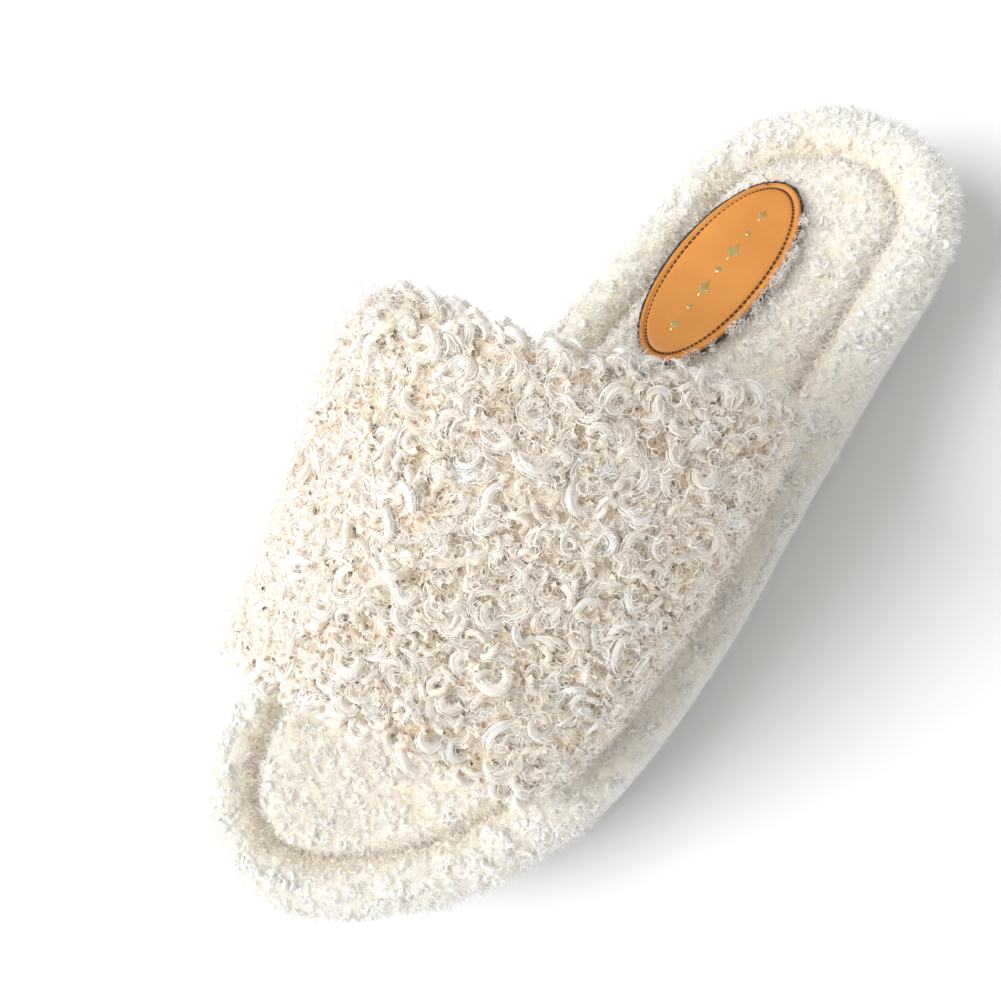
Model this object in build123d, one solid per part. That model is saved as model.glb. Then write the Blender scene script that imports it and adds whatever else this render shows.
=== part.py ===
from build123d import *
import math
import os

os.makedirs("parts", exist_ok=True)

# Women's open-toe house slipper, EU 38-39, left foot, all sizes in millimetres.
# Toe towards -Y, heel towards +Y, little-toe side towards +X, big-toe side towards -X.
# Z = 0 is the floor that the two grip pads stand on. Insets are measured inwards from
# the widest line of the fluffy rim.

# Plan outline of the fluffy rim as a chain of tangent arcs, from the heel tip round the
# little-toe side. Headings turn clockwise from +X; a negative radius curves outwards.
# The radii given as None follow from the outline having to close.
HEADINGS = [0, 84, 80, 91, 146, 234, 257, 278, 269, 360]
RADII = [33, None, 320, 100, 33, 50, 165, -825, None]

# Heights of the layers, bottom to top
PAD_PROUD = 0.7
PLATE_TOP = 5.5
CORE_TOP = 24.0
BOARD_TOP = 25.6
FOAM_TOP = 33.0
FOOTBED_TOP = 37.5

# Outsole plate and grip pads
PLATE_INSET = 9.0
PAD_RECESS = 2.6
PAD_GAP = 0.15
HEEL_PAD = (86.0, 26.0, 35.0)
FORE_PAD = (-52.0, 31.0, 47.0)
GROOVE_PITCH = 7.0
GROOVE_WIDTH = 1.2
GROOVE_DEPTH = 0.8
FRAME_Y = 24.0
FRAME_SIZE = (30.0, 17.0)
FRAME_LINE = 0.8
FRAME_PROUD = 0.4
DIGIT = (4.2, 7.6)
DIGIT_PITCH = 5.8
DIGIT_LINE = 0.8

# Foxing: the smooth skin wrapped round the side of the sole
FOXING_SKIN = 1.2
FOXING_SIDE = [(4.3, 5.2), (7.0, 3.7), (14.0, 3.0), (20.0, 3.5), (CORE_TOP, 4.8)]

# Fluffy rim roll
RIM_HEIGHT = 31.4
RIM_RADIUS = 7.4
RIM_CORD_RADIUS = 4.2

# Footbed
BOARD_INSET = 16.2
FOAM_INSET = 18.5
COVER_INSET = 15.2
COVER_SHOULDER = 34.0
COVER_TOP_INSET = 18.0

# Strap: stations along Y, each with the top of the arch (x, z), the big-toe-side
# shoulder as (inset, z) and how far the little-toe side swells out.
# Its two edges are arcs in plan.
STRAP_STATIONS = [
    (-112, -6, 78, (8.5, 56), 0.5),
    (-60, -6, 97, (5.5, 76), 0.5),
    (-5, -7, 112, (0.5, 96.5), 4.5),
    (58, -8, 122, (1.0, 105), 5.0),
]
STRAP_BASE_INSET = 16.0
STRAP_FRONT = [(-66, -100), (-2, -74), (66, -57)]
STRAP_REAR = [(-66, 10.5), (0, 18), (66, 75)]
STRAP_THICKNESS = 15.0
LINING_SHARE = 0.2
FOAM_SHARE = 0.43
LINING_SETBACK = 1.5
FOAM_SETBACK = 6.0

# Oval label lying on the heel of the footbed
LABEL_CENTRE = (-11.0, 72.0)
LABEL_SEMI = (14.0, 29.5)
FELT_THICKNESS = 0.9
FELT_MARGIN = 0.5
LEATHER_THICKNESS = 1.2
STITCH_COUNT = 46
STITCH_INSET = 2.2
STITCH_SIZE = (2.1, 0.6, 0.4)
MARK_COUNT = 7
MARK_PITCH = 6.2
MARK_SIZE = (3.0, 4.6)
MARK_THICKNESS = 0.12


def turn_step(i):
    """Way covered by arc i for each unit of its radius."""
    start, end = math.radians(HEADINGS[i]), math.radians(HEADINGS[i + 1])
    return math.sin(end) - math.sin(start), math.cos(end) - math.cos(start)


def closed_radii():
    """RADII with the two free ones worked out so that the last arc meets the first."""
    known = [(r, turn_step(i)) for i, r in enumerate(RADII) if r is not None]
    rest_x = -sum(r * step[0] for r, step in known)
    rest_y = -sum(r * step[1] for r, step in known)
    first, second = [i for i, r in enumerate(RADII) if r is None]
    (ax, ay), (bx, by) = turn_step(first), turn_step(second)
    det = ax * by - bx * ay
    radii = list(RADII)
    radii[first] = (rest_x * by - bx * rest_y) / det
    radii[second] = (ax * rest_y - rest_x * ay) / det
    return radii


radii = closed_radii()


def arc_point(start, i, heading, inset):
    """Point on arc i, which begins at start, where the outline runs in this heading."""
    at, begin = math.radians(heading), math.radians(HEADINGS[i])
    r = radii[i] - inset
    return (
        start[0] + r * (math.sin(at) - math.sin(begin)),
        start[1] + r * (math.cos(at) - math.cos(begin)),
    )


def ring_corners(inset, heel_tip):
    """Begin, middle and end of every arc of the outline moved inwards by inset."""
    start = (heel_tip[0], heel_tip[1] - inset)
    arcs = []
    for i in range(len(radii)):
        middle = arc_point(start, i, (HEADINGS[i] + HEADINGS[i + 1]) / 2, inset)
        end = arc_point(start, i, HEADINGS[i + 1], inset)
        arcs.append((start, middle, end))
        start = end
    return arcs


def extremes(heel_tip):
    """Box round the outline, from the places where it runs along X or Y."""
    spots = []
    for i, (start, _, _) in enumerate(ring_corners(0, heel_tip)):
        low, high = sorted((HEADINGS[i], HEADINGS[i + 1]))
        spots += [arc_point(start, i, h, 0) for h in (0, 90, 180, 270, 360) if low <= h <= high]
    xs, ys = [x for x, _ in spots], [y for _, y in spots]
    return min(xs), max(xs), min(ys), max(ys)


# Centre the outline on the origin
x_low, x_high, y_low, y_high = extremes((0, 0))
heel_tip = (-(x_low + x_high) / 2, -(y_low + y_high) / 2)


def ring_wire(inset):
    arcs = ring_corners(inset, heel_tip)
    arcs[-1] = (arcs[-1][0], arcs[-1][1], arcs[0][0])
    return Wire([ThreePointArc(*arc) for arc in arcs])


def rim_x(y, side):
    """x of the outline at y: side -1 is the big-toe side, 1 the little-toe side."""
    for i, (start, _, end) in enumerate(ring_corners(0, heel_tip)):
        if (HEADINGS[i] + HEADINGS[i + 1] < 360) != (side > 0):
            continue
        if min(start[1], end[1]) <= y <= max(start[1], end[1]):
            low, high = HEADINGS[i], HEADINGS[i + 1]
            for _ in range(40):
                half = (low + high) / 2
                above = arc_point(start, i, half, 0)[1] > y
                if above == (side > 0):
                    low = half
                else:
                    high = half
            return arc_point(start, i, low, 0)[0]


def ring_face(inset, z):
    return Pos(0, 0, z) * make_face(ring_wire(inset))


def ring_solid(sections, ruled=True):
    """Solid through (z, inset) sections."""
    return loft([ring_face(inset, z) for z, inset in sections], ruled=ruled)


def ellipse_solid(centre, semi, z0, z1):
    return Pos(centre[0], centre[1], z0) * extrude(Ellipse(semi[0], semi[1]), z1 - z0)


def block(x0, x1, y0, y1, z0, z1):
    at = Pos((x0 + x1) / 2, (y0 + y1) / 2, (z0 + z1) / 2)
    return at * Box(x1 - x0, y1 - y0, z1 - z0)


def save(shape, node):
    shape = Compound(children=list(shape.solids())) if len(shape.solids()) > 1 else shape.solids()[0]
    shape.label = node
    export_step(shape, "parts/" + node + ".step")


# --- grip pads -----------------------------------------------------------------
def middle_x(y):
    return (rim_x(y, -1) + rim_x(y, 1)) / 2


def grip_pad(pad):
    y, half_width, half_length = pad
    x = middle_x(y)
    recess_top = PAD_PROUD + PAD_RECESS
    shape = ellipse_solid((x, y), (half_width, half_length), 0, recess_top)
    rows = int((half_length - 5) / GROOVE_PITCH)
    for row in range(-rows, rows + 1):
        reach = half_width * math.sqrt(1 - (row * GROOVE_PITCH / half_length) ** 2) - 3.0
        middle = y + row * GROOVE_PITCH
        shape -= block(
            x - reach, x + reach, middle - GROOVE_WIDTH / 2, middle + GROOVE_WIDTH / 2, -1, GROOVE_DEPTH
        )
    return shape


heel_pad = grip_pad(HEEL_PAD)
fore_pad = grip_pad(FORE_PAD)
save(heel_pad, "heel_grip_pad")
save(fore_pad, "forefoot_grip_pad")

# --- outsole plate -------------------------------------------------------------
plate = ring_solid(
    [
        (PAD_PROUD, PLATE_INSET + 2.0),
        (PAD_PROUD + 0.7, PLATE_INSET + 0.6),
        (PAD_PROUD + 1.8, PLATE_INSET),
        (PLATE_TOP, PLATE_INSET),
    ]
)
for y, half_width, half_length in (HEEL_PAD, FORE_PAD):
    plate -= ellipse_solid(
        (middle_x(y), y), (half_width + PAD_GAP, half_length + PAD_GAP), -1, PAD_PROUD + PAD_RECESS
    )

# Moulded size frame on the waist with its numbers, to be read from below
SEGMENTS = {
    "3": ("top", "middle", "bottom", "right_up", "right_down"),
    "8": ("top", "middle", "bottom", "right_up", "right_down", "left_up", "left_down"),
    "9": ("top", "middle", "bottom", "right_up", "right_down", "left_up"),
    "-": ("middle",),
}


def digit_bars(character, x, y):
    """Bars of one seven-bar digit, mirrored so that it reads from underneath."""
    w, h = DIGIT[0] / 2, DIGIT[1] / 2
    t = DIGIT_LINE / 2
    bars = {
        "top": (-w, w, h - t, h + t),
        "middle": (-w, w, -t, t),
        "bottom": (-w, w, -h - t, -h + t),
        "right_up": (-w - t, -w + t, 0, h),
        "right_down": (-w - t, -w + t, -h, 0),
        "left_up": (w - t, w + t, 0, h),
        "left_down": (w - t, w + t, -h, 0),
    }
    low = PAD_PROUD - FRAME_PROUD
    return [
        block(x + bars[name][0], x + bars[name][1], y + bars[name][2], y + bars[name][3], low, PAD_PROUD + 0.3)
        for name in SEGMENTS[character]
    ]


frame_x, frame_y = middle_x(FRAME_Y), FRAME_Y
half_x, half_y = FRAME_SIZE[0] / 2, FRAME_SIZE[1] / 2
plate += block(
    frame_x - half_x, frame_x + half_x, frame_y - half_y, frame_y + half_y,
    PAD_PROUD - FRAME_PROUD, PAD_PROUD + 0.3,
) - block(
    frame_x - half_x + FRAME_LINE, frame_x + half_x - FRAME_LINE,
    frame_y - half_y + FRAME_LINE, frame_y + half_y - FRAME_LINE, -1, PAD_PROUD + 0.3,
)
for i, character in enumerate("38-39"):
    for bar in digit_bars(character, frame_x + (2 - i) * DIGIT_PITCH, frame_y):
        plate += bar
save(plate, "outsole_plate")

# --- midsole core and foxing ---------------------------------------------------
core_side = [(PLATE_TOP, FOXING_SIDE[0][1] + FOXING_SKIN)]
core_side += [(z, inset + FOXING_SKIN) for z, inset in FOXING_SIDE[1:]]
core = ring_solid(core_side)
foxing = ring_solid(FOXING_SIDE) - core
foxing -= ring_solid([(0, PLATE_INSET - 0.2), (PLATE_TOP, PLATE_INSET - 0.2)])
save(core, "midsole_core")
save(foxing, "foxing_wrap")

# --- rim roll ------------------------------------------------------------------
def roll(radius):
    """Tube that runs round the slipper along the middle of the rim."""
    path = Pos(0, 0, RIM_HEIGHT) * ring_wire(RIM_RADIUS + 0.1)
    start = path.edges()[0]
    section = Plane(origin=start @ 0, z_dir=start % 0) * Circle(radius)
    return sweep(section, path=path)


rim_cord = roll(RIM_CORD_RADIUS)
rim_full = roll(RIM_RADIUS)
rim_cover = rim_full - rim_cord
save(rim_cord, "rim_padding")
save(rim_cover, "rim_cover")

# --- strap ---------------------------------------------------------------------
def arch_face(station, share):
    """Cross-section under the strap: share 0 is the foot space, share 1 the pile."""
    y, top_x, top_z, shoulder, swell = station
    medial, lateral = rim_x(y, -1), rim_x(y, 1)
    rise = top_z - FOOTBED_TOP
    base = STRAP_BASE_INSET
    # point on the outer face, and its way in to the foot space
    outer = [
        (medial + base, BOARD_TOP, 6, 0),
        (medial + base - 0.1, 33, 5.2, 2),
        (medial + 9.5, FOOTBED_TOP + 0.11 * rise, 8, 3),
        (medial + 0.5 - 0.3 * swell, FOOTBED_TOP + 0.36 * rise, 14, 0),
        (medial + shoulder[0], shoulder[1], 11, -9),
        (top_x, top_z, 0, -STRAP_THICKNESS),
        (lateral - 16 + 0.6 * swell, top_z - 0.30 * rise, -9, -11),
        (lateral - 3 + swell, FOOTBED_TOP + 0.38 * rise, -14, -2),
        (lateral - 9 + 0.5 * swell, FOOTBED_TOP + 0.12 * rise, -8, 3),
        (lateral - base + 0.1, 33, -5.2, 2),
        (lateral - base, BOARD_TOP, -6, 0),
    ]
    inwards = 1 - share
    points = [Vector(x + dx * inwards, y, z + dz * inwards) for x, z, dx, dz in outer]
    arch = Edge.make_spline(points)
    base = Edge.make_line(points[-1], points[0])
    return Face(Wire([arch, base]))


def under_arch(share):
    return loft([arch_face(station, share) for station in STRAP_STATIONS])


def strap_plan(setback):
    """Plan shape of the strap with its two edges moved back, as a tall solid."""
    front = ThreePointArc(*[(x, y + setback) for x, y in STRAP_FRONT])
    rear = ThreePointArc(*[(x, y - setback) for x, y in STRAP_REAR])
    sides = [Line(front @ 0, rear @ 0), Line(front @ 1, rear @ 1)]
    plan = make_face([front, rear] + sides)
    return Pos(0, 0, BOARD_TOP) * extrude(plan, 120)


foot_space = under_arch(0)
lining_top = under_arch(LINING_SHARE)
foam_top = under_arch(FOAM_SHARE)
pile_top = under_arch(1)

strap_lining = (lining_top - foot_space) & strap_plan(LINING_SETBACK)
strap_foam = (foam_top - lining_top) & strap_plan(FOAM_SETBACK)
strap_shell = ((pile_top - lining_top) & strap_plan(0)) - strap_foam
strap_space = (strap_plan(-0.3) & block(-60, 60, -130, 90, BOARD_TOP, 45)) - foot_space
save(strap_lining, "strap_lining")
save(strap_foam, "strap_foam")
save(strap_shell, "strap_shell")

# --- footbed -------------------------------------------------------------------
board = ring_solid([(CORE_TOP, BOARD_INSET), (BOARD_TOP, BOARD_INSET)])
foam = ring_solid([(BOARD_TOP, FOAM_INSET), (FOAM_TOP - 2, FOAM_INSET), (FOAM_TOP, FOAM_INSET + 2)])
cover = ring_solid(
    [(BOARD_TOP, COVER_INSET), (COVER_SHOULDER, COVER_INSET), (FOOTBED_TOP, COVER_TOP_INSET)]
)
cover -= foam
foam -= strap_space
cover -= strap_space
save(board, "insole_board")
save(foam, "footbed_foam")
save(cover, "footbed_cover")

# --- label ---------------------------------------------------------------------
felt_top = FOOTBED_TOP + FELT_THICKNESS
leather_top = felt_top + LEATHER_THICKNESS
felt_semi = (LABEL_SEMI[0] + FELT_MARGIN, LABEL_SEMI[1] + FELT_MARGIN)
save(ellipse_solid(LABEL_CENTRE, felt_semi, FOOTBED_TOP, felt_top), "label_backing")
save(ellipse_solid(LABEL_CENTRE, LABEL_SEMI, felt_top, leather_top), "label")

stitch_line = Ellipse(LABEL_SEMI[0] - STITCH_INSET, LABEL_SEMI[1] - STITCH_INSET).edges()[0]
stitches = []
for i in range(STITCH_COUNT):
    at = stitch_line.position_at(i / STITCH_COUNT)
    along = stitch_line.tangent_at(i / STITCH_COUNT)
    turn = math.degrees(math.atan2(along.Y, along.X))
    place = Pos(LABEL_CENTRE[0] + at.X, LABEL_CENTRE[1] + at.Y, leather_top + STITCH_SIZE[2] / 2)
    stitches += [place * Rot(0, 0, turn) * Box(*STITCH_SIZE)]
save(Compound(children=stitches), "label_stitching")

marks = []
for i in range(MARK_COUNT):
    y = LABEL_CENTRE[1] + (i - (MARK_COUNT - 1) / 2) * MARK_PITCH
    shrink = 1 - 0.12 * abs(i - (MARK_COUNT - 1) / 2)
    w, h = MARK_SIZE[0] / 2 * shrink, MARK_SIZE[1] / 2 * shrink
    diamond = make_face(Polyline((-w, 0), (0, -h), (w, 0), (0, h), close=True))
    marks += [Pos(LABEL_CENTRE[0], y, leather_top) * extrude(diamond, MARK_THICKNESS)]
save(Compound(children=marks), "label_mark")
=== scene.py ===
import itertools
import math

import bpy
import numpy as np
from mathutils import Matrix, Vector


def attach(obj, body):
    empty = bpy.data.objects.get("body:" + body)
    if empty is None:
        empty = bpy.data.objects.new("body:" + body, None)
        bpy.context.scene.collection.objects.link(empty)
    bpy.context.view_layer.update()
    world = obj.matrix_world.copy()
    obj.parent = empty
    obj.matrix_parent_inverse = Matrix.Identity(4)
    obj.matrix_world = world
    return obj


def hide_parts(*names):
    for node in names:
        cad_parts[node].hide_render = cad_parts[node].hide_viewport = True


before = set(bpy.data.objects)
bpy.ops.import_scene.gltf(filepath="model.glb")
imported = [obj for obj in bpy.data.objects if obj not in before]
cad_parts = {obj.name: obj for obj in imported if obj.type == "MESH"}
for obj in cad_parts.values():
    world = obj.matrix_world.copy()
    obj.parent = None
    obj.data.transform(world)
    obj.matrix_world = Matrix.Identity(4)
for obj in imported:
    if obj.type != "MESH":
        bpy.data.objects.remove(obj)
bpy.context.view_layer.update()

# A fluffy open-toe house slipper, EU 38-39, left foot. Toe towards -Y, heel towards +Y, little-toe
# side towards +X, big-toe side towards -X. Z = 0 is the floor. Shapes are worked out in millimetres
# and scaled to metres as each mesh is made. Insets go inwards from the widest line of the rim.
MM = 0.001
TAU = 2 * math.pi
UP = np.array([0, 0, 1.0])
REARWARD = np.array([0, 1.0, 0])
rng = np.random.default_rng(38)

# Heights of the layers that several pieces share
BOARD_TOP = 25.6
BED_EDGE_HEIGHT = 33.0
BED_TOP = 37.5

# ---------------------------------------------------------------- plan outline
# The same chain of tangent arcs as the CAD outline, from the heel tip round the little-toe side:
# headings clockwise from +X, and radii, of which a negative one curves outwards.
HEADINGS = [0, 84, 80, 91, 146, 234, 257, 278, 269, 360]
RADII = [33, -1253.99, 320, 100, 33, 50, 165, -825, 42.4]
HEEL_TIP = (1.02, 132.09)
RINGS = 900
FINE_RINGS = 6000


def outline(count):
    """count points evenly along the rim's widest line, with their inward normals."""
    spans = [abs(r * math.radians(HEADINGS[i + 1] - HEADINGS[i])) for i, r in enumerate(RADII)]
    stops = np.arange(count) * sum(spans) / count
    points, inwards = np.zeros((count, 2)), np.zeros((count, 2))
    start, gone = np.array(HEEL_TIP), 0.0
    for i, r in enumerate(RADII):
        a0, a1 = math.radians(HEADINGS[i]), math.radians(HEADINGS[i + 1])
        here = (stops >= gone) & (stops < gone + spans[i])
        a = a0 + (stops[here] - gone) / spans[i] * (a1 - a0)
        points[here] = start + r * np.stack([np.sin(a) - math.sin(a0), np.cos(a) - math.cos(a0)], 1)
        inwards[here] = np.stack([-np.sin(a), -np.cos(a)], 1)
        start = start + r * np.array([math.sin(a1) - math.sin(a0), math.cos(a1) - math.cos(a0)])
        gone += spans[i]
    return points, inwards


def ring_at(inset, height):
    """The outline moved inwards and lifted to a height, as points (RINGS, 3)."""
    return np.column_stack([ring_points + ring_inwards * inset, np.full(RINGS, height)])


ring_points, ring_inwards = outline(RINGS)
fine_points = outline(FINE_RINGS)[0]

# ---------------------------------------------------------------- noise
HASH_AXES = (73856093, 19349663, 83492791)
HASH_SEED, HASH_FIRST, HASH_SECOND = 265443576, 1274126177, 668265263


def hashed(cell, seed):
    """A repeatable random number from 0 to 1 for each whole-numbered cell."""
    n = (cell[..., 0] * HASH_AXES[0]) ^ (cell[..., 1] * HASH_AXES[1]) ^ (cell[..., 2] * HASH_AXES[2])
    n = n ^ (seed * HASH_SEED)
    n = (n ^ (n >> 13)) * HASH_FIRST & 0xFFFFFFFF
    n = (n ^ (n >> 16)) * HASH_SECOND & 0xFFFFFFFF
    return ((n >> 8) & 0xFFFF) / 65535.0


def noise(p, size, seed=0):
    """Smooth value noise from -1 to 1."""
    q = p / size
    cell = np.floor(q).astype(np.int64)
    f = q - cell
    f = f * f * (3 - 2 * f)
    out = 0
    for dx, dy, dz in itertools.product((0, 1), repeat=3):
        w = np.abs(1 - dx - f[..., 0]) * np.abs(1 - dy - f[..., 1]) * np.abs(1 - dz - f[..., 2])
        out = out + w * hashed(cell + np.array([dx, dy, dz]), seed)
    return out * 2 - 1


def plan_noise(x, y, size, seed):
    return noise(np.stack([x, y, np.zeros_like(x)], -1), size, seed)


def swells(p, layers):
    """Sum of noise layers, each (height, size, seed)."""
    return sum(height * noise(p, size, seed) for height, size, seed in layers)


def domes(p, size, seed, reach=0.95):
    """Height from 0 to 1 of round tufts about size apart, each a dome that reaches this share of size."""
    q = p / size
    cell = np.floor(q).astype(np.int64)
    nearest = np.full(p.shape[:-1], 9.0)
    for step in itertools.product((-1, 0, 1), repeat=3):
        c = cell + np.array(step)
        middle = c + np.stack([hashed(c, seed + k) for k in (1, 2, 3)], -1)
        nearest = np.minimum(nearest, ((middle - q) ** 2).sum(-1))
    return np.sqrt(np.clip(1 - (np.sqrt(nearest) / reach) ** 2, 0, 1))


def unit(v):
    return v / np.maximum(np.linalg.norm(v, axis=-1, keepdims=True), 1e-9)


# ---------------------------------------------------------------- materials
MOTTLE_DETAIL, BUMP_DETAIL = 4.0, 6.0
MOTTLE_STOPS = (0.35, 0.65)


def material(name, color, roughness, sheen=0.0, metallic=0.0, specular=0.5):
    m = bpy.data.materials.new(name)
    m.use_nodes = True
    p = m.node_tree.nodes["Principled BSDF"]
    p.inputs["Base Color"].default_value = (*color, 1)
    p.inputs["Roughness"].default_value = roughness
    p.inputs["Metallic"].default_value = metallic
    p.inputs["Specular IOR Level"].default_value = specular
    p.inputs["Sheen Weight"].default_value = sheen
    p.inputs["Sheen Roughness"].default_value = 0.5
    return m


def node(m, kind, **values):
    n = m.node_tree.nodes.new(kind)
    for key, value in values.items():
        n.inputs[key].default_value = value
    return n


def mottled(name, plain, low, high, scale, roughness, sheen=0.0, metallic=0.0, bump=0.3, bump_scale=None,
            distance=0.0005):
    """Colour that wanders between low and high, and a fine bump, both from noise in object space.

    plain is the colour of the shader's own socket, under the noise.
    """
    m = material(name, plain, roughness, sheen, metallic)
    links = m.node_tree.links
    shader = m.node_tree.nodes["Principled BSDF"]
    where = m.node_tree.nodes.new("ShaderNodeTexCoord").outputs["Object"]
    wander = node(m, "ShaderNodeTexNoise", Scale=scale, Detail=MOTTLE_DETAIL)
    links.new(where, wander.inputs["Vector"])
    ramp = node(m, "ShaderNodeValToRGB")
    for stop, place, color in zip(ramp.color_ramp.elements, MOTTLE_STOPS, (low, high)):
        stop.position, stop.color = place, (*color, 1)
    links.new(wander.outputs["Fac"], ramp.inputs["Fac"])
    links.new(ramp.outputs["Color"], shader.inputs["Base Color"])
    fine = node(m, "ShaderNodeTexNoise", Scale=bump_scale or scale * 8, Detail=BUMP_DETAIL)
    links.new(where, fine.inputs["Vector"])
    relief = node(m, "ShaderNodeBump", Strength=bump, Distance=distance)
    links.new(fine.outputs["Fac"], relief.inputs["Height"])
    links.new(relief.outputs["Normal"], shader.inputs["Normal"])
    return m


# ---------------------------------------------------------------- mesh making
TRIANGLES_PER_PIECE = 195000


def add_mesh(name, verts, quads, mats, slot, replaces=(), index=None, smooth=True):
    """A mesh object from points in millimetres, riding on the root body. index is each quad's material."""
    me = bpy.data.meshes.new(name)
    verts = np.asarray(verts, float).reshape(-1, 3)
    quads = np.asarray(quads, np.int64).reshape(-1, 4)
    me.vertices.add(len(verts))
    me.vertices.foreach_set("co", (verts * MM).astype(np.float32).ravel())
    me.loops.add(quads.size)
    me.loops.foreach_set("vertex_index", quads.ravel().astype(np.int32))
    me.polygons.add(len(quads))
    me.polygons.foreach_set("loop_start", (np.arange(len(quads)) * 4).astype(np.int32))
    me.polygons.foreach_set("loop_total", np.full(len(quads), 4, np.int32))
    if index is not None:
        me.polygons.foreach_set("material_index", np.asarray(index, np.int32).ravel())
    me.polygons.foreach_set("use_smooth", np.full(len(quads), smooth))
    for m in mats:
        me.materials.append(m)
    me.update(calc_edges=True)
    me.validate()
    piece = bpy.data.objects.new(name, me)
    bpy.context.scene.collection.objects.link(piece)
    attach(piece, "root")
    if replaces:
        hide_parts(*replaces)
    return piece


def grid_quads(rows, cols, wrap_rows=False, wrap_cols=False):
    r = np.arange(rows if wrap_rows else rows - 1)[:, None]
    c = np.arange(cols if wrap_cols else cols - 1)[None, :]
    r2, c2 = (r + 1) % rows, (c + 1) % cols
    return np.stack([r * cols + c, r * cols + c2, r2 * cols + c2, r2 * cols + c], -1).reshape(-1, 4)


def join_tubes(grids):
    """Vertices and quads of several small grids, each closed round its columns, as one mesh."""
    verts, quads, base = [], [], 0
    for grid in grids:
        rows, cols = grid.shape[:2]
        verts.append(grid.reshape(-1, 3))
        quads.append(grid_quads(rows, cols, wrap_cols=True) + base)
        base += rows * cols
    return np.concatenate(verts), np.concatenate(quads)


def cell_areas(points, weight=None):
    """Area of each cell of a grid of points, times the weight at its corner."""
    down, across = points[1:, :-1] - points[:-1, :-1], points[:-1, 1:] - points[:-1, :-1]
    area = np.linalg.norm(np.cross(down, across), axis=-1)
    return area if weight is None else area * weight[:-1, :-1]


def scatter(points, normals, area, count):
    """count random places on a grid of points, with each cell's share of them as its share of area."""
    pick = rng.choice(area.size, count, p=(area / area.sum()).ravel())
    r, c = np.unravel_index(pick, area.shape)
    a, b = rng.random((2, count, 1))
    at = points[r, c] + (points[r + 1, c] - points[r, c]) * a + (points[r, c + 1] - points[r, c]) * b
    return at, normals[r, c]


# ---------------------------------------------------------------- fibres and locks
CURL_OPENING, CURL_CLOSING, CURL_RISE_POWER = 2.2, 0.3, 0.7
LOCK_SIZES, LOCK_TURNS = (0.75, 1.2), (0.6, 1.35)
LOCK_THICKNESS, LOCK_ROOT, LOCK_BELLY, LOCK_POINT = (0.13, 0.2), 0.75, 1.5, (0.04, 1)
LOCK_WIDER, LOCK_FLATTER = 1.1, 0.9
HAIR_STARTS, HAIR_ENDS = (0, 0.22), (0.78, 1.08)
HAIR_SPREAD, HAIR_WIDTHS = (0.6, 1.25), (0.6, 1.5)
STRAY_SHARE, STRAY_SPREAD = 0.25, (0.2, 1.0)
FUZZ_SIZES, FUZZ_WIDTHS = (0.6, 1.4), (0.7, 1.3)
CORE_MINGLE, FUZZ_MINGLE, HAIR_MINGLE = 0.05, 0.14, 0.15


def either_way(n):
    return rng.choice([-1, 1], n)


def in_pieces(count, triangles_each):
    """Numbers from 0 up to count, split so that no mesh passes the triangle limit."""
    pieces = max(1, math.ceil(count * triangles_each / TRIANGLES_PER_PIECE))
    return enumerate(np.array_split(np.arange(count), pieces), start=1)


def fibres(name, centre, across, width, mats, tones, slot):
    """Flat fibres along centre (n, k, 3) with their width along across. tones is each step's material."""
    n, k, _ = centre.shape
    for i, part in in_pieces(n, (k - 1) * 2):
        c, a, w = centre[part], across[part], width[part][..., None] / 2
        verts = np.stack([c - a * w, c + a * w], 2)
        base = np.arange(len(part))[:, None] * (2 * k) + np.arange(k - 1)[None, :] * 2
        quads = np.stack([base, base + 1, base + 3, base + 2], -1)
        add_mesh(f"{name}_{i}", verts, quads, mats, slot, index=tones[part][:, : k - 1])


def cores(name, centre, u, v, radius, sides, mats, tones, slot):
    """Lumpy round cores along centre (n, k, 3) with radius (n, k), where u and v point across them."""
    n, k, _ = centre.shape
    angle = np.arange(sides) * TAU / sides
    ring = np.cos(angle)[:, None] * u[:, :, None] + np.sin(angle)[:, None] * v[:, :, None]
    ridges, lumps = rng.uniform(-0.13, 0.13, (n, 1, sides)), rng.uniform(-0.08, 0.08, (n, k, sides))
    verts = centre[:, :, None] + ring * (radius[..., None] * (1 + ridges + lumps))[..., None]
    quads = grid_quads(k, sides, wrap_cols=True)
    for i, part in in_pieces(n, (k - 1) * sides * 2):
        faces = np.arange(len(part))[:, None, None] * (k * sides) + quads[None]
        index = np.repeat(tones[part][:, : k - 1], sides, axis=1)
        add_mesh(f"{name}_{i}", verts[part], faces, mats, slot, index=index)


def helix(root, axis, side, length, radius, turns, phase, t, flare=0.3):
    """Lines at t (n, k) that rise along axis while curling round it, and each curl's outward way."""
    b = unit(side - (side * axis).sum(-1, keepdims=True) * axis)
    c = np.cross(axis, b)
    angle = phase[:, None] + turns[:, None] * TAU * t
    grow = radius[:, None] * np.minimum(1, flare + t * CURL_OPENING) * (1 - CURL_CLOSING * t)
    out = np.cos(angle)[..., None] * b[:, None] + np.sin(angle)[..., None] * c[:, None]
    start = np.cos(phase)[:, None] * b + np.sin(phase)[:, None] * c
    rise = length[:, None] * np.maximum(t, 0) ** CURL_RISE_POWER
    line = root[:, None] + axis[:, None] * rise[..., None] + grow[..., None] * out
    return line - (radius * flare)[:, None, None] * start[:, None], out


def direction(line):
    return unit(np.gradient(line, axis=1))


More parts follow.
